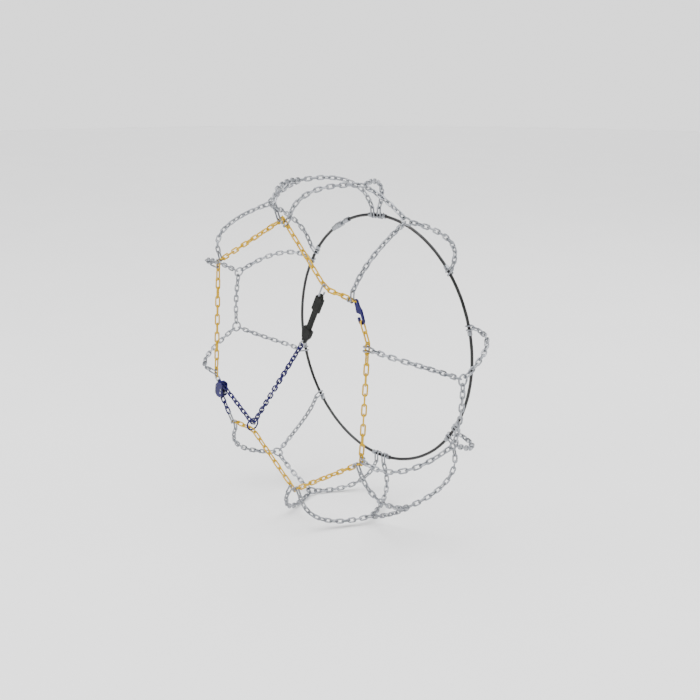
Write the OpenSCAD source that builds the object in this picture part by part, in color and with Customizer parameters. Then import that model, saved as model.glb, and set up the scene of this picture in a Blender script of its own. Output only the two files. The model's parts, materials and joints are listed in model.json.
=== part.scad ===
// Tyre snow chain of the diamond net kind, in the shape it takes on a mounted tyre.
// Origin at the wheel's centre, +Z up, Y along the wheel's axle, -Y towards the outer side of the wheel.
// Angles round the wheel are measured in degrees from +Z towards +X.

/* [Tyre] */
// Outside diameter of the tyre that the net fits
tyre_d = 634; // [630:2:640]
// Distance from the wheel's middle plane to the side chain in front and the cable behind
side_y = 112; // [111:0.5:113]
// Height of the tread chains' middle above the tread
tread_lift = 5; // [5:0.5:6]
// Squareness of the tyre's shoulder, where 2 is an ellipse
shoulder_power = 2.5; // [2.4:0.1:2.5]

/* [Chain links] */
// Wire diameter of every chain link
link_wire = 3; // [2.8:0.1:3]
// Gap between the legs of a short link
short_gap = 4.4; // [4.3:0.1:4.4]
// Inside length of a short link, used on the tread and in the tension chain
short_inside = 12.2; // [12.2:0.1:12.4]
// Gap between the legs of a long link
long_gap = 4.4; // [4.4:0.1:4.6]
// Inside length of a long link, used in the side chain
long_inside = 18.8; // [18.8:0.1:19]
// Lengthwise play between two links
play = 0.5; // [0.4:0.05:0.6]

/* [Tread net] */
// Angles of the middles of the six tread chains that run round the tyre
tread_chain_angles = [23.75, 97.25, 151.25, 204.25, 276.75, 331.25];
// Angle between the two rings of one tread chain
ring_spread = 21.5; // [21.3:0.1:21.7]
// Links in each tread chain
tread_links = 9; // [9]
// Links in each slanting chain behind the tyre
slant_links = 13; // [13]
// Links in each slanting chain in front, in the order of the rings
front_slant_links = [13, 15, 15, 13, 13, 13, 13, 13, 13, 13, 13, 13];
// Radius of a tread ring's wire circle
ring_r = 9.5; // [9.5:0.1:10]
// Wire diameter of a tread ring
ring_wire = 3.4; // [3.3:0.1:3.5]

/* [Side chain] */
// Corners of the side chain, as radius and angle
corner_a = [257, -2.5];
corner_h = [232.8, 51.5];
corner_g = [226, 69];
corner_f = [240, 125];
corner_e = [250, 177.5];
corner_d = [249, 228];
corner_c = [251, 250];
corner_b = [262, 304.5];
// Where the rubber strap pulls the side chain towards the hub
pulled_top = [184.8, 34.5];
// Where the guide ring pulls the side chain towards the hub
pulled_bottom = [202.5, 215];

/* [Hooks] */
// Wire diameter of the double hooks
hook_wire = 3.2; // [3:0.1:3.2]
// Distance between the two legs of a double hook
hook_legs = 7.4; // [7.3:0.1:7.4]
// Reach of a double hook from the wire it grips to the middle of its bow
hook_reach = 17; // [16.5:0.5:17.5]
// Angle that each claw of a double hook wraps
claw_wrap = 235; // [225:5:240]

/* [Rear cable] */
// Diameter of the sheathed rear cable
cable_d = 6; // [5.6:0.2:6]
// Radius of the circle that the rear cable lies on
cable_r = 240; // [238:1:242]
// Angle of the rear cable's coupler
coupler_angle = 331.25; // [330.5:0.25:332]

/* [Tension chain] */
// Middle of the lock, as distances along X and Z
lock_at = [-221, -112.2];
// Lean of the lock away from upright
lock_lean = 8.5; // [8:0.5:9]
// Thickness of the lock
lock_t = 14.2; // [14:0.1:14.6]
// Radius of the guide ring's wire circle
guide_r = 12.2; // [12:0.1:12.6]
// Wire diameter of the guide ring
guide_wire = 3.2; // [3:0.1:3.3]

/* [Rubber strap] */
// Length of the rubber strap
strap_length = 108; // [107:0.5:109]
// Width of the strap's upper end
strap_w = 17.5; // [17:0.5:18]
// Width of the strap's lower end
strap_foot_w = 21; // [20:0.5:22]
// Width of the strap's waist
waist_w = 10; // [9:0.5:11]
// Thickness of the strap's ends
strap_t = 7.6; // [7.4:0.2:8]
// Lean of the strap away from upright
strap_lean = 27.5; // [27:0.2:28]

/* [Hidden] */
$fn = 48;
SIDES = 6;

zinc = [0.78, 0.8, 0.82];
yellow = [0.9, 0.72, 0.25];
blue = [0.12, 0.13, 0.5];
black = [0.08, 0.08, 0.08];

crown_r = tyre_d / 2 + tread_lift;
slack = 0.4;
// From a joint to the middle of a link's end wire
crown = (link_wire + play) / 2;
outward = [0, -1, 0];

// ---- Small geometry helpers ----
function unit(v) = v / norm(v);
function on_wheel(r, a, y) = [r * sin(a), y, r * cos(a)];
function radial(a) = [sin(a), 0, cos(a)];
function along_rim(a) = [cos(a), 0, -sin(a)];
function corner(c) = on_wheel(c[0], c[1], -side_y);
function middle(p, q) = (p + q) / 2;
function spin(v, axis, turn) =
    v * cos(turn) + cross(axis, v) * sin(turn) + axis * (axis * v) * (1 - cos(turn));

// Distance travelled at each point of a path
function travelled(path) =
    [for (i = 0, s = 0; i < len(path);
          s = s + (i + 1 < len(path) ? norm(path[i + 1] - path[i]) : 0), i = i + 1) s];
// A path as three lookup tables of coordinate against distance
function tables(path) =
    let (s = travelled(path))
    [for (k = [0:2]) [for (i = [0:len(path) - 1]) [s[i], path[i][k]]]];
// Points spaced evenly along a path, after leaving some of each end out
function joints(path, count, skip_start, skip_end) =
    let (t = tables(path), s = travelled(path), run = s[len(s) - 1] - skip_start - skip_end)
    [for (i = [0:count]) [for (k = [0:2]) lookup(skip_start + run * i / count, t[k])]];

// Places children with X from p to q and Z as near as can be to up
module between(p, q, up) {
    x = unit(q - p);
    y = unit(cross(up, x));
    z = cross(x, y);
    m = middle(p, q);
    multmatrix([[x[0], y[0], z[0], m[0]], [x[1], y[1], z[1], m[1]], [x[2], y[2], z[2], m[2]]]) children();
}

// Places children with their origin at p, X along x and Y along y
module frame_at(p, x, y) {
    z = cross(x, y);
    multmatrix([[x[0], y[0], z[0], p[0]], [x[1], y[1], z[1], p[1]], [x[2], y[2], z[2], p[2]]]) children();
}

// ---- Links and chains ----
// Round wire link in the XY plane, with its length along X
module link(inside, gap, wire = link_wire) {
    bend = (gap + wire) / 2;
    straight = inside - gap;
    for (side = [-1, 1]) {
        translate([side * straight / 2, 0, 0]) rotate([0, 0, -90 * side])
            rotate_extrude(angle = 180) translate([bend, 0]) circle(d = wire);
        translate([-straight / 2, side * bend, 0]) rotate([0, 90, 0]) cylinder(d = wire, h = straight);
    }
}

// A stretched chain spreads its play, so a link is drawn to suit the pitch of its stretch
function drawn(pitch) = round(10 * (pitch + play)) / 10;
module short_link(pitch) link(drawn(pitch), short_gap);
module long_link(pitch) link(drawn(pitch), long_gap);

// Roll of link number i out of count: every second link is turned by a quarter, the twist peaks midway,
// and turn is the extra roll gained from the first link to the last
function roll_of(i, count, first, twist, turn = 0) =
    first + 90 * (i % 2) + twist * sin(180 * (i + 0.5) / count) + turn * i / (count - 1);

// ---- Slanting and running chains over the tyre ----
side_r_nominal = 265;
// Outward direction of the tyre's surface below a point of the net
function surface_normal(p) =
    let (r = norm([p[0], p[2]]), u = max(0, (r - side_r_nominal) / (crown_r - side_r_nominal)),
         v = abs(p[1]) / side_y, k = shoulder_power - 1)
    unit([p[0] / r, 0, p[2] / r] * pow(u, k) / (crown_r - side_r_nominal)
         + [0, sign(p[1]), 0] * pow(v, k) / side_y);

// Path from a ring over the shoulder to the point e
function slant_path(ring_angle, e) =
    let (er = norm([e[0], e[2]]), ea = ring_angle + turn_to(ring_angle, atan2(e[0], e[2])),
         steps = 32,
         section = [for (i = [0:steps]) let (f = 90 * i / steps)
             [e[1] * pow(sin(f), 2 / shoulder_power),
              er + (crown_r - er) * pow(max(0, cos(f)), 2 / shoulder_power), 0]],
         s = travelled(section))
    [for (i = [0:steps]) on_wheel(section[i][1], ring_angle + (ea - ring_angle) * s[i] / s[steps],
                                  section[i][0])];
// Signed smallest turn from one angle to another
function turn_to(a, b) = (b - a) - 360 * round((b - a) / 360);

ring_skip = ring_r - ring_wire / 2 - slack / 2;
ring_angles = [for (a = tread_chain_angles) for (s = [-1, 1]) a + s * ring_spread / 2];

module surface_links(path, count, skip_start, skip_end, twist, wanted) {
    j = joints(path, count, skip_start, skip_end);
    pitch = norm(j[1] - j[0]);
    for (i = wanted)
        between(j[i], j[i + 1], surface_normal(middle(j[i], j[i + 1])))
            rotate([roll_of(i, count, 90, twist), 0, 0]) short_link(pitch);
}
module surface_chain(path, count, skip_start, skip_end, twist)
    surface_links(path, count, skip_start, skip_end, twist, [0:count - 1]);

module tread_ring(i) {
    a = ring_angles[i];
    color(zinc) translate(on_wheel(crown_r, a, 0)) rotate([0, a, 0])
        rotate_extrude() translate([ring_r, 0]) circle(d = ring_wire);
}

tread_twist = [20, 45, 45, 45, 45, 45];
module tread_stretch(i, wanted) {
    a = tread_chain_angles[i];
    path = [for (k = [-8:8]) on_wheel(crown_r, a + k * ring_spread / 16, 0)];
    color(zinc) surface_links(path, tread_links, ring_skip, ring_skip, tread_twist[i], wanted);
}
module tread_chain(i) tread_stretch(i, [1:tread_links - 2]);
// The links that pass through the rings at both ends of each tread chain
module tread_end_links() for (i = [0:SIDES - 1]) tread_stretch(i, [0, tread_links - 1]);

// ---- Side chain ----
// At a corner one link stands on edge and its end wire lies on the corner; its neighbour lies flat round it
flat_span = long_inside - link_wire - play;
edge_span = long_inside + link_wire;
// End pairs of count links from v0 to v1; each lap is 1 where the chain starts past v0 or ends past v1
function run(v0, v1, count, lap0, lap1) =
    let (d = unit(v1 - v0), s = v0 + d * crown * lap0, e = v1 + d * crown * lap1)
    [for (i = [0:count - 1]) [s + (e - s) * i / count, s + (e - s) * (i + 1) / count]];
// Ends of the one link that spans a kink at k between two neighbours
function kink(k, from, to, span, share) =
    let (u = unit(from - k), v = unit(to - k),
         size = span / norm(u * share - v * (1 - share)))
    [k + u * size * share, k + v * size * (1 - share)];

top_kink = kink(corner(pulled_top), corner(corner_a), corner(corner_h), edge_span, 0.65);
low_kink = kink(corner(pulled_bottom), corner(corner_e), corner(corner_d), flat_span, 0.34);
side_links = [
    concat(run(corner(corner_a), top_kink[0], 8, 1, 1), [top_kink],
           run(top_kink[1], corner(corner_h), 4, -1, -1)),
    run(corner(corner_g), corner(corner_f), 12, 1, 1),
    run(corner(corner_f), corner(corner_e), 12, 1, -1),
    concat(run(corner(corner_e), low_kink[0], 8, -1, -1), [low_kink],
           run(low_kink[1], corner(corner_d), 3, 1, -1)),
    run(corner(corner_c), corner(corner_b), 13, -1, 1),
    run(corner(corner_b), corner(corner_a), 13, 1, 1)];
// Roll of the first link: 0 lies flat beside the tyre, 90 stands on edge
first_roll = [90, 90, 90, 0, 0, 90];
side_twist = [0, 45, 0, 0, 45, 0];
side_turn = [0, 0, 90, 0, 0, 90];
function side_roll(k, i) =
    roll_of(i, len(side_links[k]), first_roll[k], side_twist[k], side_turn[k]);

function is_kink(k, i) = (k == 0 || k == 3) && i == 8;
module side_link(k, i) {
    ends = side_links[k][i];
    pitch = is_kink(k, i) ? long_inside - play : norm(ends[1] - ends[0]);
    between(ends[0], ends[1], outward) rotate([side_roll(k, i), 0, 0]) long_link(pitch);
}

module side_chain(k) color(yellow) for (i = [1:len(side_links[k]) - 2]) side_link(k, i);

module side_chain_corner_links()
    color(yellow) for (k = [0:SIDES - 1]) for (i = [0, len(side_links[k]) - 1]) side_link(k, i);

// ---- Double hooks ----
// Each hook grips the first or last link of a stretch: [stretch, end], in the order of the rings
grips = [[0, 0], [0, 1], [1, 0], [1, 1], [2, 0], [2, 1], [3, 0], [3, 1], [4, 0], [4, 1], [5, 0], [5, 1]];
function grip_index(g) = g[1] == 0 ? 0 : len(side_links[g[0]]) - 1;
function grip_ends(g) = side_links[g[0]][grip_index(g)];
function grip_roll(g) = side_roll(g[0], grip_index(g));
// Direction of the gripped link, along growing angles
function grip_x(g) = unit(grip_ends(g)[1] - grip_ends(g)[0]);
function grip_out(g) =
    let (m = middle(grip_ends(g)[0], grip_ends(g)[1]), n = cross(grip_x(g), outward))
    n * [m[0], 0, m[2]] > 0 ? n : -n;
// Middle of the leg that the claws go round
function grip_point(g) =
    let (half = (long_gap + link_wire) / 2, x = grip_x(g),
         leg = spin(cross(outward, x), x, grip_roll(g)), n = grip_out(g),
         toward = abs(leg * n) > 0.7 ? n : outward)
    middle(grip_ends(g)[0], grip_ends(g)[1]) + leg * (leg * toward > 0 ? half : -half);
function grip_flat(g) = abs(sin(grip_roll(g))) < 0.7;

claw_r = (link_wire + hook_wire) / 2 + slack;
cable_claw_r = (cable_d + hook_wire) / 2 + slack;
bow_gap = hook_legs / 2 - 0.15;

// Double hook in its own frame: X along the gripped wire, Y out to the bow, Z away from the wire's middle
module double_hook(claw) {
    bow = hook_legs / 2;
    for (side = [-1, 1]) translate([side * bow, 0, 0]) {
        rotate([90, 0, 90]) rotate([0, 0, 90]) rotate_extrude(angle = claw_wrap)
            translate([claw, 0]) circle(d = hook_wire);
        translate([0, 0, claw]) rotate([-90, 0, 0]) cylinder(d = hook_wire, h = hook_reach - bow);
    }
    translate([0, hook_reach - bow, claw]) rotate_extrude(angle = 180)
        translate([bow, 0]) circle(d = hook_wire);
}

// Direction from the gripped leg to the hook's plane
function hook_side(g) = grip_flat(g) ? outward : -outward;
function front_bow(g) =
    grip_point(g) + grip_out(g) * hook_reach + hook_side(g) * claw_r;

module front_hook(g) {
    y = grip_out(g);
    frame_at(grip_point(g), cross(y, hook_side(g)), y) double_hook(claw_r);
}
module front_hooks() color(zinc) for (g = grips) front_hook(g);

// Rear hooks sit on the cable, nearer their corner than the ring they belong to
rear_step = 13.4;
function rear_angle(i) = ring_angles[i] + (i % 2 == 0 ? -rear_step : rear_step);
function rear_bow(i) =
    on_wheel(cable_r + hook_reach, rear_angle(i), side_y - cable_claw_r);

module rear_hooks() color(zinc) for (i = [0:11]) {
    y = radial(rear_angle(i));
    frame_at(on_wheel(cable_r, rear_angle(i), side_y), cross(y, outward), y) double_hook(cable_claw_r);
}

// ---- Slanting chains ----
slant_twist = [12, 35, 35, 35, 35, 35, 30, 35, 30, 30, 25, 30];
module front_slant(i) surface_chain(
    slant_path(ring_angles[i], front_bow(grips[i]) - grip_out(grips[i]) * bow_gap),
    front_slant_links[i], ring_skip, crown, slant_twist[i]);
module rear_slant(i) surface_chain(
    slant_path(ring_angles[i], rear_bow(i) - radial(rear_angle(i)) * bow_gap),
    slant_links, ring_skip, crown, -slant_twist[i]);
// Pair number i meets at one corner of the side chain
module front_slant_chains(i) color(zinc) for (k = [2 * i, (2 * i + 11) % 12]) front_slant(k);
module rear_slant_chains(i) color(zinc) for (k = [2 * i, (2 * i + 11) % 12]) rear_slant(k);

// ---- Rear cable ----
coupler_half = 4;
module on_cable(a) frame_at([0, side_y, 0], radial(a), along_rim(a)) children();
module cable_arc(angle, d) rotate_extrude(angle = angle) translate([cable_r, 0]) circle(d = d);
module cable_sleeve(angle, d) difference() {
    cable_arc(angle, d);
    rotate([0, 0, -1]) cable_arc(angle + 2, cable_d + 0.4);
}

module rear_cable() color(black)
    on_cable(coupler_angle + coupler_half) cable_arc(360 - 2 * coupler_half, cable_d);

ferrule_angle = 1.9;
module rear_ferrules() color(zinc) for (i = [0:11])
    on_cable(rear_angle(i) + (i % 2 == 0 ? 1.5 : -1.5 - ferrule_angle)) cable_sleeve(ferrule_angle, 9);

// Frame at the coupler: X outwards, Y along the cable, Z along the axle
end_t = cable_r * sin(coupler_half);
end_r = cable_r * cos(coupler_half);
ball_d = 7.4;
module on_coupler_line(t) on_cable(coupler_angle) translate([end_r, t, 0]) rotate([-90, 0, 0]) children();

// Straight crimp on the cable's end, with its solid end towards the coupler
module cable_end(side) difference() {
    on_cable(coupler_angle + side * coupler_half) translate([cable_r, 0, 0]) rotate([-90 * side, 0, 0])
        translate([0, 0, -3]) cylinder(d = 10, h = 13);
    on_cable(coupler_angle + side * coupler_half) translate([cable_r, 0, 0]) rotate([-90 * side, 0, 0])
        translate([0, 0, -0.3]) cylinder(d = cable_d + 0.6, h = 12);
}

module coupler_socket() color(zinc) {
    cable_end(-1);
    difference() {
        on_coupler_line(1.5 - end_t) cylinder(d = 12, h = end_t + 3.5);
        on_coupler_line(-4.5) cylinder(d = ball_d + 0.8, h = 7);
        on_coupler_line(1) cylinder(d = 5, h = 6);
        on_cable(coupler_angle) translate([end_r, -5, -2.5]) cube([10, 12, 5]);
    }
}

module coupler_stud() color(zinc) {
    cable_end(1);
    on_coupler_line(end_t - 7) cylinder(d = 8, h = 5.5);
    on_coupler_line(-1) cylinder(d = 4, h = end_t - 3);
    on_coupler_line(-4) cylinder(d = ball_d, h = 5.5);
}

// ---- Closure hook ----
closure_line = unit(corner(corner_g) - corner(corner_h));
closure_span = norm(corner(corner_g) - corner(corner_h));
closure_reach = closure_span - edge_span - flat_span;
hook_plate = long_gap - 0.8;
closure_ends = [for (s = [closure_reach, closure_reach + edge_span, closure_span])
    corner(corner_h) + closure_line * s];

module closure_links() color(yellow) for (i = [0:1])
    between(closure_ends[i], closure_ends[i + 1], outward)
        rotate([i == 0 ? 90 : 0, 0, 0]) long_link(long_inside - play);

// Outline with X along the pull and Y towards the rim
module closure_outline() {
    play = 0.3;
    throat = closure_reach - play;
    difference() {
        union() {
            translate([play, 0]) circle(r = 4.6);
            polygon([[play, -4.6], [9, -4.8], [14, -6], [throat - 15, -6], [throat - 10, 2.4], [throat, 2.4],
                     [throat, 7.2], [throat - 10, 7.6], [16, 7.6], [9, 4.8], [play, 4.6]]);
            translate([throat, 0]) difference() {
                circle(r = 7.2);
                translate([-8, -8]) square([8, 16]);
            }
            translate([throat - 5, -7.2]) square([5.5, 4.6]);
            translate([throat - 5, -4.9]) circle(r = 2.3);
        }
        translate([play, 0]) circle(r = link_wire / 2 + 1.1);
        translate([throat, 0]) circle(r = 2.75);
    }
}

module closure_hook() color(blue)
    frame_at(corner(corner_h), closure_line, cross(outward, closure_line))
        translate([0, 0, -hook_plate / 2]) linear_extrude(hook_plate) closure_outline();

// ---- Lock ----
lock_x = [cos(lock_lean), 0, -sin(lock_lean)];
lock_y = [sin(lock_lean), 0, cos(lock_lean)];
lock_origin = [lock_at[0], -side_y, lock_at[1]];
function in_lock(p) = lock_origin + lock_x * p[0] + lock_y * p[1];
module lock_frame() frame_at(lock_origin, lock_x, lock_y) children();

short_flat_span = short_inside - link_wire - play;
short_edge_span = short_inside + link_wire;
lock_entry = 131.3;
lock_exit = -18.3;
function heading(a) = [cos(a), sin(a)];
lock_n2 = [-1.6, -5.5];
lock_n1 = lock_n2 - short_flat_span * heading(lock_entry);
lock_n3 = lock_n2 + short_edge_span * heading(90);
lock_n4 = lock_n3 + short_flat_span * heading(22);
lock_in = lock_n1 - 14 * heading(lock_entry);
lock_out = lock_n4 + 16 * heading(lock_exit);
lug = [-7, 15.3];
pivot = [7.8, -2];
half_channel = (short_gap + 2 * link_wire) / 2 + 0.5;
cover_t = 1.4;

module bar2d(p, q, half) {
    d = q - p;
    cap = 0.55 * half;
    translate(p) rotate([0, 0, atan2(d[1], d[0])]) translate([-cap, -half]) square([norm(d) + 2 * cap, 2 * half]);
}
module chain_channel() {
    bar2d(lock_in, lock_n2, half_channel);
    bar2d(lock_n2, lock_n3, half_channel);
    bar2d(lock_n3, lock_n4, half_channel);
    bar2d(lock_n4, lock_out, half_channel);
}
module lock_outline() {
    polygon([[-9.4, 11], [-10.8, 8], [-10.8, -6.4], [-9.8, -9.2], [-3.6, -13.6], [4.6, -13.6], [11.2, -8.2],
             [12, -6], [12, 15.6], [9.5, 18.6], [-2, 18.6], [-4, 17]]);
}
rivets = [[-8.3, -7.6], [9, 4.6], [-8.6, 6.8]];
pocket = 3;
module pawl_pocket() {
    polygon([[3.4, 4.8], [3.4, -7], [9, -7.5], [12.6, -6.5], [12.6, 5.5], [9, 5.5]]);
}

module lock_body() color(blue) lock_frame() difference() {
    union() {
        translate([0, 0, -lock_t / 2]) linear_extrude(lock_t - cover_t) lock_outline();
        translate([lug[0], lug[1], -1.8]) cylinder(r = 5, h = 3.6);
        translate([-9, 10, -1.8]) cube([6.4, 6, 3.6]);
    }
    translate([0, 0, -half_channel]) linear_extrude(lock_t) chain_channel();
    translate([0, 0, -pocket]) linear_extrude(2 * pocket) pawl_pocket();
    translate([lug[0], lug[1], -5]) cylinder(r = link_wire / 2 + 0.8, h = 10);
    translate([pivot[0], pivot[1], -lock_t]) cylinder(d = 3.1, h = 2 * lock_t);
    for (p = rivets) translate([p[0], p[1], pocket + 0.6]) cylinder(d = 2.5, h = lock_t);
}

module lock_cover() color(blue) lock_frame() difference() {
    translate([0, 0, lock_t / 2 - cover_t + 0.02]) linear_extrude(cover_t) lock_outline();
    translate([pivot[0], pivot[1], 0]) cylinder(d = 3.1, h = lock_t);
    for (p = rivets) translate([p[0], p[1], 0]) cylinder(d = 2.5, h = lock_t);
}

module lock_rivets() color(zinc) lock_frame() for (p = rivets) translate([p[0], p[1], 0]) {
    translate([0, 0, pocket + 1]) cylinder(d = 2.4, h = lock_t / 2 - pocket - 0.9);
    translate([0, 0, lock_t / 2 + 0.04]) cylinder(d = 4.2, h = 0.8);
}

module lock_pawl_pin() color(zinc) lock_frame() translate([pivot[0], pivot[1], 0]) {
    translate([0, 0, -lock_t / 2 - 0.6]) cylinder(d = 3, h = lock_t + 0.8);
    translate([0, 0, lock_t / 2 + 0.04]) cylinder(d = 4.6, h = 0.8);
    translate([0, 0, -lock_t / 2 - 0.6]) cylinder(d = 4.6, h = 0.58);
}

pawl_half = 2.4;
module lock_pawl() color(zinc) lock_frame() difference() {
    union() {
        translate([pivot[0], pivot[1], -pawl_half]) cylinder(r = 3.2, h = 2 * pawl_half);
        translate([0, 0, -pawl_half]) linear_extrude(2 * pawl_half) {
            polygon([[0.7, 1.4], [1.6, 0.1], [pivot[0], pivot[1] - 3.2], [pivot[0], pivot[1] + 3.2]]);
            polygon([[pivot[0], pivot[1] - 3], [14.4, -1.4], [14.4, 1.8], [pivot[0], pivot[1] + 3.2]]);
        }
        translate([14.4, 0.2, -pawl_half]) cylinder(r = 1.9, h = 2 * pawl_half);
    }
    translate([pivot[0], pivot[1], -lock_t]) cylinder(d = 3.5, h = 2 * lock_t);
}

lug_span = norm(in_lock(lug) - corner(corner_c));
lug_line = (in_lock(lug) - corner(corner_c)) / lug_span;
module lock_link() color(zinc)
    between(corner(corner_c), corner(corner_c) + lug_line * (lug_span + 0.3), outward)
        rotate([90, 0, 0]) link(round(10 * (lug_span + 0.3 - link_wire)) / 10, short_gap);

// ---- Tension chain ----
lower_line = unit(in_lock(lock_n1) - corner(corner_d));
lower_span = norm(in_lock(lock_n1) - corner(corner_d));
lower_links = run(corner(corner_d) + lower_line * (lower_span - 3 * (short_inside - slack) - 2 * crown - 0.3),
                  in_lock(lock_n1), 3, 1, -1);
module tension_link() color(zinc)
    between(corner(corner_d), lower_links[0][0] - lower_line * crown, outward)
        link(round(10 * (norm(lower_links[0][0] - corner(corner_d)) - crown + link_wire + 0.6)) / 10, long_gap);

module tension_links(pairs, first, turn) {
    pitch = norm(pairs[0][1] - pairs[0][0]);
    for (i = [0:len(pairs) - 1])
        between(pairs[i][0], pairs[i][1], outward)
            rotate([roll_of(i, len(pairs), first, 0, turn), 0, 0]) short_link(pitch);
}
// One link of the usual size whose ends are given
module tension_bend(p, q, roll)
    between(p, q, outward) rotate([roll, 0, 0]) short_link(short_inside - play);

module tension_chain_lower() color(blue) {
    tension_links(lower_links, 90, 0);
    tension_bend(in_lock(lock_n1), in_lock(lock_n2), 0);
    tension_bend(in_lock(lock_n2), in_lock(lock_n3), 90);
    tension_bend(in_lock(lock_n3), in_lock(lock_n4), 0);
}

// The guide ring hangs from the tension chain and holds the hub-side leg of a side chain link
ring_line = unit(low_kink[0] - low_kink[1]);
hubward = cross(outward, ring_line);
leg_bend = (long_gap + link_wire) / 2;
guide_centre = middle(low_kink[0], low_kink[1])
    + hubward * (leg_bend - (link_wire + guide_wire) / 2 - slack + guide_r);
crossing = guide_centre
    + hubward * (guide_r - (link_wire + guide_wire) / 2 - slack - (short_gap + link_wire) / 2 - 0.6);
crossing_lean = 22;
crossing_line = unit(spin(ring_line, outward, crossing_lean));
crossing_start = crossing - crossing_line * short_flat_span / 2;
crossing_end = crossing + crossing_line * short_flat_span / 2;

module guide_ring() color(blue) frame_at(guide_centre, hubward, outward)
    rotate_extrude() translate([guide_r, 0]) circle(d = guide_wire);

middle_links = run(in_lock(lock_n4), crossing_start, 9, 1, -1);
module tension_chain_middle() color(blue) {
    tension_links(middle_links, 90, 0);
    tension_bend(crossing_start, crossing_end, 0);
}

// ---- Rubber strap ----
strap_up = radial(strap_lean);
strap_side = cross(strap_up, outward);
loop_r = 5.4;
strap_leg = middle(top_kink[0], top_kink[1]) + outward * leg_bend;
shank_z = loop_r;
hook_shank = 16.5;
strap_claw = (link_wire + hook_wire) / 2 + slack;
strap_top = strap_leg - outward * (loop_r - strap_claw) - strap_up * (hook_shank + loop_r);
strap_bottom = strap_top - strap_up * (strap_length - 8.4);
module strap_frame(p) frame_at(p, strap_side, strap_up) children();

eye_r = 7;
pull_line = unit(strap_bottom - crossing_end);
eye_centre = strap_bottom - pull_line * eye_r;
upper_end = eye_centre - pull_line * (eye_r - link_wire / 2 - slack / 2);
module strap_eye() color(zinc) frame_at(eye_centre, pull_line, outward)
    rotate_extrude() translate([eye_r, 0]) circle(d = link_wire);

upper_links = run(crossing_end, upper_end, 21, 1, 0);
module tension_chain_upper() color(blue) tension_links(upper_links, 90, 90);

// Bent wire that leaves the front of the shank, down for side 1 and up for side -1
module bent_wire(side, wrap, r) rotate([90, 0, 90]) mirror([side < 0 ? 1 : 0, 0, 0]) rotate([0, 0, 90])
    rotate_extrude(angle = wrap) translate([r, 0]) circle(d = hook_wire);
module strap_hook() color(zinc) strap_frame(strap_top) {
    translate([0, loop_r, 0]) bent_wire(1, 205, loop_r);
    translate([0, loop_r, shank_z]) rotate([-90, 0, 0]) cylinder(d = hook_wire, h = hook_shank);
    translate([0, loop_r + hook_shank, shank_z - strap_claw]) bent_wire(-1, 225, strap_claw);
}

module slab(w, y0, y1, t) translate([-w / 2, y0, -t / 2]) cube([w, y1 - y0, t]);
module strap() color(black) strap_frame(strap_top) {
    tab = 5.4;
    low = -(strap_length - 8.4);
    difference() {
        union() {
            slab(12, -4, 0, tab);
            translate([0, -1.8, -tab / 2]) cylinder(d = 12, h = tab);
            slab(strap_w, -32, -3, strap_t);
            slab(waist_w, -73, -31, strap_t - 1.2);
            slab(strap_foot_w, low + 13, -72, strap_t);
            translate([0, 0, -strap_t / 2]) linear_extrude(strap_t)
                polygon([[-strap_foot_w / 2, low + 13.1], [-6, low + 3.5], [6, low + 3.5],
                         [strap_foot_w / 2, low + 13.1]]);
            translate([0, low + 1.8, -tab / 2]) cylinder(d = 12, h = tab);
        }
        translate([0, 0.45, -strap_t]) cylinder(d = 5.2, h = 2 * strap_t);
        translate([0, low - 0.34, -strap_t]) cylinder(d = 5, h = 2 * strap_t);
    }
}

tread_ring(0);  // tread_ring_1
tread_ring(1);  // tread_ring_2
tread_ring(2);  // tread_ring_3
tread_ring(3);  // tread_ring_4
tread_ring(4);  // tread_ring_5
tread_ring(5);  // tread_ring_6
tread_ring(6);  // tread_ring_7
tread_ring(7);  // tread_ring_8
tread_ring(8);  // tread_ring_9
tread_ring(9);  // tread_ring_10
tread_ring(10);  // tread_ring_11
tread_ring(11);  // tread_ring_12
tread_chain(0);  // tread_chain_1
tread_chain(1);  // tread_chain_2
tread_chain(2);  // tread_chain_3
tread_chain(3);  // tread_chain_4
tread_chain(4);  // tread_chain_5
tread_chain(5);  // tread_chain_6
tread_end_links();
front_slant_chains(0);  // front_slant_chains_1
front_slant_chains(1);  // front_slant_chains_2
front_slant_chains(2);  // front_slant_chains_3
front_slant_chains(3);  // front_slant_chains_4
front_slant_chains(4);  // front_slant_chains_5
front_slant_chains(5);  // front_slant_chains_6
rear_slant_chains(0);  // rear_slant_chains_1
rear_slant_chains(1);  // rear_slant_chains_2
rear_slant_chains(2);  // rear_slant_chains_3
rear_slant_chains(3);  // rear_slant_chains_4
rear_slant_chains(4);  // rear_slant_chains_5
rear_slant_chains(5);  // rear_slant_chains_6
side_chain(0);  // side_chain_a_h
side_chain(1);  // side_chain_g_f
side_chain(2);  // side_chain_f_e
side_chain(3);  // side_chain_e_d
side_chain(4);  // side_chain_c_b
side_chain(5);  // side_chain_b_a
side_chain_corner_links();
closure_links();
closure_hook();
front_hooks();
rear_hooks();
rear_cable();
rear_ferrules();
coupler_socket();
coupler_stud();
lock_link();
tension_link();
lock_body();
lock_cover();
lock_rivets();
lock_pawl();
lock_pawl_pin();
tension_chain_lower();
tension_chain_middle();
tension_chain_upper();
guide_ring();
strap();
strap_eye();
strap_hook();
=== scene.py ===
"""Tire snow chains: detailed links, rings, lock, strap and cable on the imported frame, over a pale floor."""
import json
import math
import random

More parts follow.
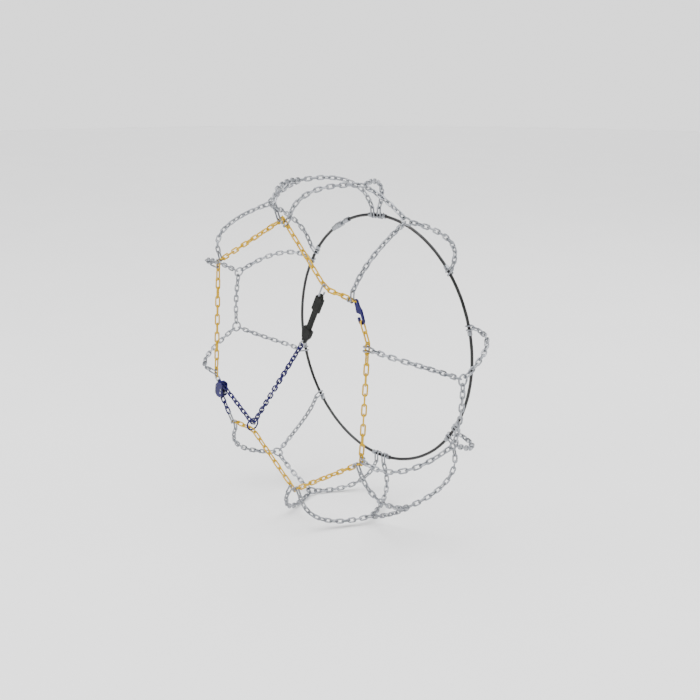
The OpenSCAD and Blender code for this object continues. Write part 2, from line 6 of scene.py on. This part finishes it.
import bpy
import numpy as np
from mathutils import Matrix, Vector


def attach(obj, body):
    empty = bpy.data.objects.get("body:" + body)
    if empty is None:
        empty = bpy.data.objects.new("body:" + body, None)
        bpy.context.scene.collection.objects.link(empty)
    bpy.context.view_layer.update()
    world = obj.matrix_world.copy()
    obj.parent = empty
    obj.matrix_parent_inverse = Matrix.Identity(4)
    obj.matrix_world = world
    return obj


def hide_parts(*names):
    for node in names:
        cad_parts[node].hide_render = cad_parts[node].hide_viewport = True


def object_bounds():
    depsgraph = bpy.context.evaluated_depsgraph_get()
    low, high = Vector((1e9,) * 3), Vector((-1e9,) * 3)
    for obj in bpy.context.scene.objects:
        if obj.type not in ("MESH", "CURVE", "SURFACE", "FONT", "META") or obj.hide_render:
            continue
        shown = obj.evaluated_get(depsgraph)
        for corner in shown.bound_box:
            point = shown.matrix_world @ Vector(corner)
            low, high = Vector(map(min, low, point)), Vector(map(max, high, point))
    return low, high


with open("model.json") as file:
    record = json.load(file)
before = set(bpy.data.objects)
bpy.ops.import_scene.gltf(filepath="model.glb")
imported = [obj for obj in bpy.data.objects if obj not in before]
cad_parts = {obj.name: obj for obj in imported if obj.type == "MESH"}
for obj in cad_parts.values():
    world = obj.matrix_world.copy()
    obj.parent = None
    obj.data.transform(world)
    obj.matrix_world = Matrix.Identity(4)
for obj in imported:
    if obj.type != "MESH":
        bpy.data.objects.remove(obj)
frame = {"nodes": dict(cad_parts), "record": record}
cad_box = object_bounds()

MM = 0.001
TAU = 2 * math.pi
rng = random.Random(7)
scene = bpy.context.scene

body_of_node = {n: b for b, members in frame["record"]["behaviour"]["bodies"].items() for n in members}
slot_of_node = {s["node"]: s["material_slot"] for s in frame["record"]["subparts"]}


# ---- Materials -----------------------------------------------------------------------------------

class Finish:
    """A Principled material: its even settings by name, and procedural layers that drive the rest."""

    def __init__(self, name, **settings):
        self.material = bpy.data.materials.new(name)
        self.material.use_nodes = True
        self.tree = self.material.node_tree
        self.shader = self.tree.nodes["Principled BSDF"]
        for key, value in settings.items():
            self.shader.inputs[key.replace("_", " ")].default_value = value
        self.place = self.tree.nodes.new("ShaderNodeTexCoord").outputs["Object"]
        self.normal = None

    def add(self, kind, **inputs):
        """A node whose inputs are given by name, each as a number or as another node's output."""
        node = self.tree.nodes.new(kind)
        for key, value in inputs.items():
            socket = node.inputs[key.replace("_", " ")]
            if isinstance(value, bpy.types.NodeSocket):
                self.tree.links.new(value, socket)
            else:
                socket.default_value = value
        return node

    def noise(self, scale, detail=4.0, roughness=0.55):
        return self.add("ShaderNodeTexNoise", Vector=self.place, Scale=scale, Detail=detail,
                        Roughness=roughness).outputs["Fac"]

    def spots(self, scale):
        return self.add("ShaderNodeTexVoronoi", Vector=self.place, Scale=scale).outputs["Distance"]

    def remap(self, value, low, high, to_low=0.0, to_high=1.0):
        node = self.tree.nodes.new("ShaderNodeMapRange")
        self.tree.links.new(value, node.inputs["Value"])
        for key, number in (("From Min", low), ("From Max", high), ("To Min", to_low), ("To Max", to_high)):
            node.inputs[key].default_value = number
        return node.outputs["Result"]

    def attribute(self, name):
        node = self.tree.nodes.new("ShaderNodeAttribute")
        node.attribute_name = name
        return node.outputs["Fac"]

    def maths(self, kind, a, b):
        node = self.tree.nodes.new("ShaderNodeMath")
        node.operation = kind
        for socket, value in zip(node.inputs, (a, b)):
            if isinstance(value, bpy.types.NodeSocket):
                self.tree.links.new(value, socket)
            else:
                socket.default_value = value
        return node.outputs[0]

    def mix(self, factor, a, b):
        node = self.tree.nodes.new("ShaderNodeMix")
        node.data_type = "RGBA"
        self.tree.links.new(factor, node.inputs["Factor"])
        for socket, value in ((node.inputs[6], a), (node.inputs[7], b)):
            if isinstance(value, bpy.types.NodeSocket):
                self.tree.links.new(value, socket)
            else:
                socket.default_value = (*value, 1)
        return node.outputs[2]

    def drive(self, name, value):
        self.tree.links.new(value, self.shader.inputs[name])

    def bump(self, height, distance, strength=1.0):
        node = self.add("ShaderNodeBump", Height=height, Distance=distance, Strength=strength)
        if self.normal:
            self.tree.links.new(self.normal, node.inputs["Normal"])
        self.normal = node.outputs["Normal"]
        self.drive("Normal", self.normal)


def make_zinc():
    """Zinc plate: per-link tone, soft mottling, darker rubbed bearing faces, fine grain."""
    f = Finish("zinc_plate", Metallic=1.0)
    cloud = f.remap(f.noise(220, 3), 0.35, 0.68)
    grain = f.noise(1500, 5)
    tone = f.attribute("tone")
    base = f.mix(cloud, (0.17, 0.18, 0.20), (0.34, 0.355, 0.38))
    base = f.mix(f.remap(tone, 0, 1, 0, 0.4), base, (0.44, 0.45, 0.47))
    rubbed = f.maths("MULTIPLY", f.attribute("wear"), f.remap(f.noise(700, 3), 0.42, 0.56))
    base = f.mix(f.remap(rubbed, 0, 1, 0, 0.7), base, (0.09, 0.092, 0.1))
    f.drive("Base Color", base)
    f.drive("Roughness", f.maths("ADD", f.remap(grain, 0.3, 0.7, 0.2, 0.36),
                                 f.remap(cloud, 0, 1, 0.0, 0.08)))
    f.bump(grain, 0.00006, 0.5)
    f.bump(f.noise(420, 2), 0.00018, 0.45)
    return f.material


def make_paint(name, deep, light, chip, roughness):
    """Paint over wire: flow ripples, per-link tone, thin worn patches on the bearing faces."""
    f = Finish(name, Specular_IOR_Level=0.22, Coat_Weight=0.03, Coat_Roughness=0.12)
    cloud = f.remap(f.noise(180, 4), 0.32, 0.7)
    base = f.mix(cloud, deep, light)
    base = f.mix(f.remap(f.attribute("tone"), 0, 1, 0, 0.35), base, light)
    speck = f.remap(f.noise(1300, 4), 0.58, 0.64)
    worn = f.maths("MULTIPLY", f.attribute("wear"), speck)
    base = f.mix(worn, base, chip)
    f.drive("Base Color", base)
    f.drive("Metallic", f.remap(worn, 0, 1, 0, 0.9))
    f.drive("Roughness", f.remap(f.noise(900, 4), 0.3, 0.7, roughness - 0.07, roughness + 0.1))
    f.bump(f.noise(320, 2), 0.00022, 0.5)
    f.bump(f.noise(2200, 3), 0.00003, 0.4)
    return f.material


def make_sheath():
    """Smooth extruded cable sheath with patches of dust."""
    f = Finish("cable_sheath", Specular_IOR_Level=0.35)
    dust = f.remap(f.noise(60, 5), 0.52, 0.72, 0, 0.5)
    f.drive("Base Color", f.mix(dust, (0.008, 0.008, 0.009), (0.04, 0.038, 0.036)))
    f.drive("Roughness", f.remap(dust, 0, 0.5, 0.3, 0.62))
    f.bump(f.noise(800, 3), 0.00005, 0.5)
    return f.material


def make_rubber():
    """Moulded rubber: fine grain, greyish bloom, satin sheen."""
    f = Finish("strap_rubber", Specular_IOR_Level=0.1)
    bloom = f.remap(f.noise(90, 5), 0.45, 0.75, 0, 0.6)
    f.drive("Base Color", f.mix(bloom, (0.006, 0.0065, 0.006), (0.022, 0.023, 0.021)))
    f.drive("Roughness", f.remap(f.noise(500, 4), 0.3, 0.7, 0.36, 0.58))
    f.bump(f.spots(1900), 0.00006, 0.45)
    f.bump(f.noise(260, 3), 0.00016, 0.4)
    return f.material


finish = {
    "zinc": make_zinc(),
    "yellow_paint": make_paint("yellow_paint", deep=(0.43, 0.25, 0.0), light=(0.58, 0.355, 0.0),
                               chip=(0.3, 0.27, 0.22), roughness=0.38),
    "blue_paint": make_paint("blue_paint", deep=(0.0012, 0.0, 0.036), light=(0.003, 0.0003, 0.09),
                             chip=(0.2, 0.2, 0.24), roughness=0.34),
    "cable_sheath": make_sheath(),
    "strap_rubber": make_rubber(),
}


# ---- Reading the frame ---------------------------------------------------------------------------

def islands(node):
    """The separate closed solids of a CAD node: for each, the node's points and the solid's triangles."""
    mesh = frame["nodes"][node].data
    co = np.zeros(len(mesh.vertices) * 3)
    mesh.vertices.foreach_get("co", co)
    co = co.reshape(-1, 3)
    _, first, merged = np.unique(np.round(co, 7), axis=0, return_index=True, return_inverse=True)
    merged = merged.reshape(-1)
    points = co[first]
    mesh.calc_loop_triangles()
    tri = np.zeros(len(mesh.loop_triangles) * 3, dtype=int)
    mesh.loop_triangles.foreach_get("vertices", tri)
    tri = merged[tri].reshape(-1, 3)
    label = np.arange(len(points))
    # Each point takes the lowest label among its triangles' points, until nothing changes.
    while True:
        low = label[tri].min(1)
        before = label.copy()
        for k in range(3):
            np.minimum.at(label, tri[:, k], low)
        label = label[label]
        if (label == before).all():
            break
    solid_of_tri = label[tri[:, 0]]
    return [(points, tri[solid_of_tri == solid]) for solid in np.unique(solid_of_tri)]


class Placed:
    """A solid's own axes, longest first, with its centre and its size along each."""

    def __init__(self, points, tri):
        a, b, c = (points[tri[:, k]] for k in range(3))
        area = np.linalg.norm(np.cross(b - a, c - a), axis=1)
        mid = (a + b + c) / 3
        mean = (mid * area[:, None]).sum(0) / area.sum()
        spread = ((mid - mean) * area[:, None]).T @ (mid - mean)
        _, axes = np.linalg.eigh(spread)
        self.axes = axes[:, ::-1].T
        if np.linalg.det(self.axes) < 0:
            self.axes[2] *= -1
        local = points[np.unique(tri)] @ self.axes.T
        low, high = local.min(0), local.max(0)
        self.size = high - low
        self.centre = ((low + high) / 2) @ self.axes


# ---- Swept wire ----------------------------------------------------------------------------------

def sweep(path, radii, sides, closed):
    """Vertices and faces of a wire along a flat path. radii has a row per point, of one or sides values."""
    n = len(path)
    ahead, behind = np.roll(path, -1, 0), np.roll(path, 1, 0)
    if not closed:
        ahead[-1], behind[0] = path[-1], path[0]
    tangent = ahead - behind
    tangent /= np.linalg.norm(tangent, axis=1)[:, None]
    flat = np.linalg.svd(path - path.mean(0))[2][2]
    side = np.cross(tangent, flat)
    side /= np.linalg.norm(side, axis=1)[:, None]
    over = np.cross(tangent, side)
    turn = np.arange(sides) * TAU / sides
    ring = np.cos(turn)[None, :, None] * side[:, None, :] + np.sin(turn)[None, :, None] * over[:, None, :]
    verts = (path[:, None, :] + ring * radii[:, :, None]).reshape(-1, 3)
    faces = []
    for i in range(n if closed else n - 1):
        j = (i + 1) % n
        for k in range(sides):
            m = (k + 1) % sides
            faces.append((i * sides + k, i * sides + m, j * sides + m, j * sides + k))
    if not closed:
        faces.append(tuple(range(sides - 1, -1, -1)))
        faces.append(tuple((n - 1) * sides + k for k in range(sides)))
    return verts, faces


BEND_STEP, LEG_STEP = 0.42, 0.3         # length of a step of the path, in wire diameters
LEAST_BEND_STEPS = 9
ROUND_BELOW = 0.02                      # a link with less straight leg than this part of its length is a ring
WELD_SWELL = 0.11                       # extra radius at the weld, as part of the wire's
WELD_REACH = 0.32                       # how far the weld goes each way, in wire diameters
NO_WELD = 1                             # a distance from the weld, in metres, where nothing of it is left
RING_WEAR = 0.25


def link_mesh(placed, sides):
    """A bent and welded wire link the size of a placed solid, with how rubbed each vertex is."""
    length, width, wire = placed.size
    bend = (width - wire) / 2
    straight = max(length - width, 0)
    ends = max(int(math.pi * bend / (BEND_STEP * wire)), LEAST_BEND_STEPS)
    along = max(int(straight / (LEG_STEP * wire)), 1) if straight > ROUND_BELOW * length else 0
    path, weld, bearing = [], [], []
    for side in (1, -1):
        for i in range(along):
            t = i / along
            path.append((side * straight * (0.5 - t), side * bend, 0))
            weld.append((t - 0.5) * straight if side > 0 else NO_WELD)
            bearing.append(0)
        for i in range(ends):
            a = math.pi * (0.5 + i / ends)
            path.append((side * (math.cos(a) * bend - straight / 2), side * math.sin(a) * bend, 0))
            weld.append(NO_WELD)
            bearing.append(max(0, -math.cos(a)))
    path = np.array(path)
    if along == 0:
        arc = np.arctan2(path[:, 1], path[:, 0]) * bend
        weld = arc - arc[len(arc) // 3]
    swell = 1 + WELD_SWELL * np.exp(-(np.array(weld) / (WELD_REACH * wire)) ** 2)
    verts, faces = sweep(path, (wire / 2 * swell)[:, None], sides, True)
    outer = verts.reshape(len(path), sides, 3) - path[:, None, :]
    inward = -(outer * path[:, None, :]).sum(2) / (np.linalg.norm(outer, axis=2) *
                                                   np.linalg.norm(path, axis=1)[:, None])
    wear = np.clip(inward, 0, 1) * np.array(bearing)[:, None] ** 2
    if along == 0:
        wear = np.full_like(wear, RING_WEAR)
    verts = verts @ placed.axes + placed.centre
    return verts, faces, wear.reshape(-1)


def store(mesh, name, values):
    """Keeps a number for each vertex, for the materials to read."""
    mesh.attributes.new(name, "FLOAT", "POINT").data.foreach_set("value", np.asarray(values, np.float32))


def make_piece(name, parts, node):
    """Joins parts, each (verts, faces, wear), into one smooth piece that stands for a CAD node."""
    verts, faces, wear, tone, start = [], [], [], [], 0
    for v, f, w in parts:
        shade = rng.random()
        verts.append(v)
        faces += [tuple(i + start for i in face) for face in f]
        wear.append(w)
        tone += [shade] * len(v)
        start += len(v)
    mesh = bpy.data.meshes.new(name)
    mesh.from_pydata(np.concatenate(verts).tolist(), [], faces)
    store(mesh, "wear", np.concatenate(wear))
    store(mesh, "tone", tone)
    mesh.polygons.foreach_set("use_smooth", [len(p.vertices) == 4 for p in mesh.polygons])
    mesh.update()
    obj = bpy.data.objects.new(name, mesh)
    scene.collection.objects.link(obj)
    stand_for(obj, node)


def stand_for(obj, node):
    """Gives a new piece its finish, body and slot, and shows it in place of a CAD node."""
    obj.data.materials.clear()
    obj.data.materials.append(finish[slot_of_node[node]])
    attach(obj, body_of_node[node])
    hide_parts(node)


RIDGE_WIDTH, RIDGE_HEIGHT = 0.5 * MM, 0.3 * MM


def parting_line(co, normal, placed):
    """Raises the fine ridge that a two-part mould leaves round the middle of a moulding."""
    local = (co - placed.centre) @ placed.axes.T
    across = np.abs(normal @ placed.axes[2])
    ridge = np.exp(-(local[:, 2] / RIDGE_WIDTH) ** 2) * np.clip(1 - 2 * across, 0, 1)
    return co + normal * (RIDGE_HEIGHT * ridge)[:, None]


EDGE_GAIN, EDGE_START = 9, 0.35         # how wear grows with how far a vertex stands proud


def edge_wear(mesh, co, normal, voxel):
    """How rubbed each vertex is, from how far it stands proud of the mean of its neighbours, in voxels."""
    edge = np.zeros(len(mesh.edges) * 2, dtype=int)
    mesh.edges.foreach_get("vertices", edge)
    edge = edge.reshape(-1, 2)
    total, count = np.zeros((len(co), 3)), np.zeros(len(co))
    for a, b in ((0, 1), (1, 0)):
        np.add.at(total, edge[:, a], co[edge[:, b]])
        np.add.at(count, edge[:, a], 1)
    proud = ((co - total / count[:, None]) * normal).sum(1) / voxel
    return np.clip(proud * EDGE_GAIN - EDGE_START, 0, 1)


JOIN_DISTANCE = 1e-6                    # CAD vertices closer than this are one vertex
CASTING_TONE = 0.4


def rounded(node, voxel, passes, moulded=False):
    """Replaces a CAD node with a copy whose edges are rounded as a casting's or a moulding's are."""
    obj = bpy.data.objects.new("smooth_" + node, frame["nodes"][node].data.copy())
    scene.collection.objects.link(obj)
    obj.modifiers.new("weld", "WELD").merge_threshold = JOIN_DISTANCE
    remesh = obj.modifiers.new("remesh", "REMESH")
    remesh.mode, remesh.voxel_size, remesh.use_smooth_shade = "VOXEL", voxel, True
    smooth = obj.modifiers.new("smooth", "SMOOTH")
    smooth.factor, smooth.iterations = 0.5, passes
    bpy.context.view_layer.update()
    baked = bpy.data.meshes.new_from_object(obj.evaluated_get(bpy.context.evaluated_depsgraph_get()))
    obj.modifiers.clear()
    obj.data = baked
    n = len(baked.vertices)
    co, normal = np.zeros(n * 3), np.zeros(n * 3)
    baked.vertices.foreach_get("co", co)
    baked.vertex_normals.foreach_get("vector", normal)
    co, normal = co.reshape(-1, 3), normal.reshape(-1, 3)
    if moulded:
        co = parting_line(co, normal, Placed(*islands(node)[0]))
        baked.vertices.foreach_set("co", co.ravel())
        baked.update()
    store(baked, "wear", edge_wear(baked, co, normal, voxel))
    store(baked, "tone", np.full(n, CASTING_TONE))
    stand_for(obj, node)


# ---- Chains, rings and other bent wire -----------------------------------------------------------

WIRE_NODES = [n for n in frame["nodes"] if "chain" in n or "ring" in n or "_links" in n]
WIRE_NODES += ["lock_link", "tension_link", "strap_eye"]
RING_SIDES, LINK_SIDES = 20, 12
for node in sorted(set(WIRE_NODES)):
    sides = RING_SIDES if "ring" in node else LINK_SIDES
    make_piece("wire_" + node, [link_mesh(Placed(*part), sides) for part in islands(node)], node)


# ---- Rear cable ----------------------------------------------------------------------------------

STRANDS, LAY = 7, 32 * MM               # strands under the sheath, and the length of one of their turns
GROOVE = 0.018                          # depth of the ribs they leave, as part of the cable's radius
CABLE_STEPS, CABLE_SIDES = 620, 28


def make_cable():
    """The rear hoop with its sheath, fitted to its CAD solid: open at the coupler, faintly ribbed."""
    points = islands("rear_cable")[0][0]
    reach = np.hypot(points[:, 0], points[:, 2])
    bow, half = (reach.max() + reach.min()) / 2, (reach.max() - reach.min()) / 2
    depth = (points[:, 1].max() + points[:, 1].min()) / 2
    angle = np.sort(np.arctan2(points[:, 0], points[:, 2]))
    gap = np.diff(np.append(angle, angle[0] + TAU))
    widest = int(gap.argmax())
    start, wrap = angle[(widest + 1) % len(angle)], TAU - gap[widest]
    a = start + wrap * np.linspace(0, 1, CABLE_STEPS)
    path = np.stack([bow * np.sin(a), np.full(CABLE_STEPS, depth), bow * np.cos(a)], 1)
    turn = np.arange(CABLE_SIDES) * TAU / CABLE_SIDES
    twist = STRANDS * (turn[None, :] + (a * bow / LAY)[:, None] * TAU / STRANDS)
    radii = half * (1 - GROOVE + GROOVE * np.cos(twist))
    verts, faces = sweep(path, radii, CABLE_SIDES, False)
    make_piece("sheathed_cable", [(verts, faces, np.zeros(len(verts)))], "rear_cable")


make_cable()


# ---- Cast, stamped and moulded parts -------------------------------------------------------------

# For each node, the voxel size in mm and the number of smoothing passes.
SOFTENED = {"lock_body": (0.32, 9), "lock_cover": (0.28, 10), "closure_hook": (0.3, 10), "strap": (0.4, 26),
            "lock_pawl": (0.25, 6), "coupler_socket": (0.35, 5), "coupler_stud": (0.35, 5),
            "lock_rivets": (0.2, 8), "lock_pawl_pin": (0.2, 8), "rear_ferrules": (0.4, 4)}
for node, (voxel, passes) in SOFTENED.items():
    rounded(node, voxel * MM, passes, node == "strap")

# The CAD nodes that still show, which are the double hooks and the strap's hook, only get their finish.
for node, obj in frame["nodes"].items():
    if not obj.hide_render:
        obj.data.materials.clear()
        obj.data.materials.append(finish[slot_of_node[node]])
        for polygon in obj.data.polygons:
            polygon.use_smooth = True


# ---- Floor, light and camera ---------------------------------------------------------------------

def make_floor(level):
    """A pale round floor, built in rings that get wider outwards."""
    rings, steps, reach = 10, 96, 9.0
    verts, faces = [(0, 0, level)], []
    for i in range(1, rings + 1):
        r = reach * (i / rings) ** 2
        spokes = [TAU * k / steps for k in range(steps)]
        verts += [(r * math.cos(a), r * math.sin(a), level) for a in spokes]
    for k in range(steps):
        faces.append((0, 1 + k, 1 + (k + 1) % steps))
        for i in range(rings - 1):
            a, b = 1 + i * steps, 1 + (i + 1) * steps
            faces.append((a + k, b + k, b + (k + 1) % steps, a + (k + 1) % steps))
    mesh = bpy.data.meshes.new("floor")
    mesh.from_pydata(verts, [], faces)
    floor = bpy.data.objects.new("floor", mesh)
    scene.collection.objects.link(floor)
    f = Finish("floor_paint", Roughness=0.55)
    f.drive("Base Color", f.mix(f.noise(3.0, 2), (0.84, 0.84, 0.845), (0.88, 0.88, 0.88)))
    mesh.materials.append(f.material)


def area_light(name, place, size, power):
    """A rectangular lamp at place, aimed at the origin."""
    data = bpy.data.lights.new(name, "AREA")
    data.shape = "RECTANGLE"
    data.size, data.size_y = size
    data.energy = power
    lamp = bpy.data.objects.new(name, data)
    lamp.location = place
    lamp.rotation_mode = "QUATERNION"
    lamp.rotation_quaternion = (-Vector(place)).to_track_quat("-Z", "Y")
    scene.collection.objects.link(lamp)


FLOOR_GAP = 0.5 * MM
make_floor(cad_box[0].z - FLOOR_GAP)
area_light("key", (-1.1, -2.2, 2.2), (1.3, 1.0), 62)
area_light("fill", (2.9, -1.0, 0.9), (0.6, 1.8), 16)
area_light("rim", (0.6, 2.4, 2.0), (2.0, 0.6), 40)

# The sky's brightness by height, from the Z of its direction. The dark band in the middle is there for the
# bare metal to reflect, so that it shows against the pale floor.
SKY_LEVELS = ((0.0, 0.34), (0.12, 0.34), (0.26, 0.03), (0.74, 0.03), (0.84, 1.0))
SKY_STRENGTH = 5.0


def make_sky():
    """A grey sky that changes only with height."""
    world = bpy.data.worlds.new("studio")
    scene.world = world
    world.use_nodes = True
    sky = world.node_tree
    background = sky.nodes["Background"]
    ramp = sky.nodes.new("ShaderNodeValToRGB")
    height = sky.nodes.new("ShaderNodeSeparateXYZ")
    sky.links.new(sky.nodes.new("ShaderNodeTexCoord").outputs["Generated"], height.inputs[0])
    sky.links.new(height.outputs["Z"], ramp.inputs["Fac"])
    sky.links.new(ramp.outputs["Color"], background.inputs["Color"])
    stops = ramp.color_ramp.elements
    for place, level in SKY_LEVELS:
        stop = stops[0] if place == 0.0 else stops.new(place)
        stop.color = (level, level, level, 1)
    background.inputs["Strength"].default_value = SKY_STRENGTH


make_sky()

AZIMUTH, ELEVATION, DISTANCE = math.radians(49.42), math.radians(16.6), 1.984
SENSOR_WIDTH, FOCAL_LENGTH = 36, 54.44
SHIFT_X, SHIFT_Y = 0.02, -0.001
NEAR, FAR = 0.05, 60


def make_camera():
    """The camera fitted to the photograph, turned towards the origin."""
    back = Vector((math.sin(AZIMUTH) * math.cos(ELEVATION), -math.cos(AZIMUTH) * math.cos(ELEVATION),
                   math.sin(ELEVATION)))
    camera = bpy.data.objects.new("camera", bpy.data.cameras.new("camera"))
    camera.data.sensor_width, camera.data.lens = SENSOR_WIDTH, FOCAL_LENGTH
    camera.data.shift_x, camera.data.shift_y = SHIFT_X, SHIFT_Y
    camera.data.clip_start, camera.data.clip_end = NEAR, FAR
    camera.location = back * DISTANCE
    camera.rotation_mode = "QUATERNION"
    camera.rotation_quaternion = (-back).to_track_quat("-Z", "Y")
    scene.collection.objects.link(camera)
    scene.camera = camera


make_camera()
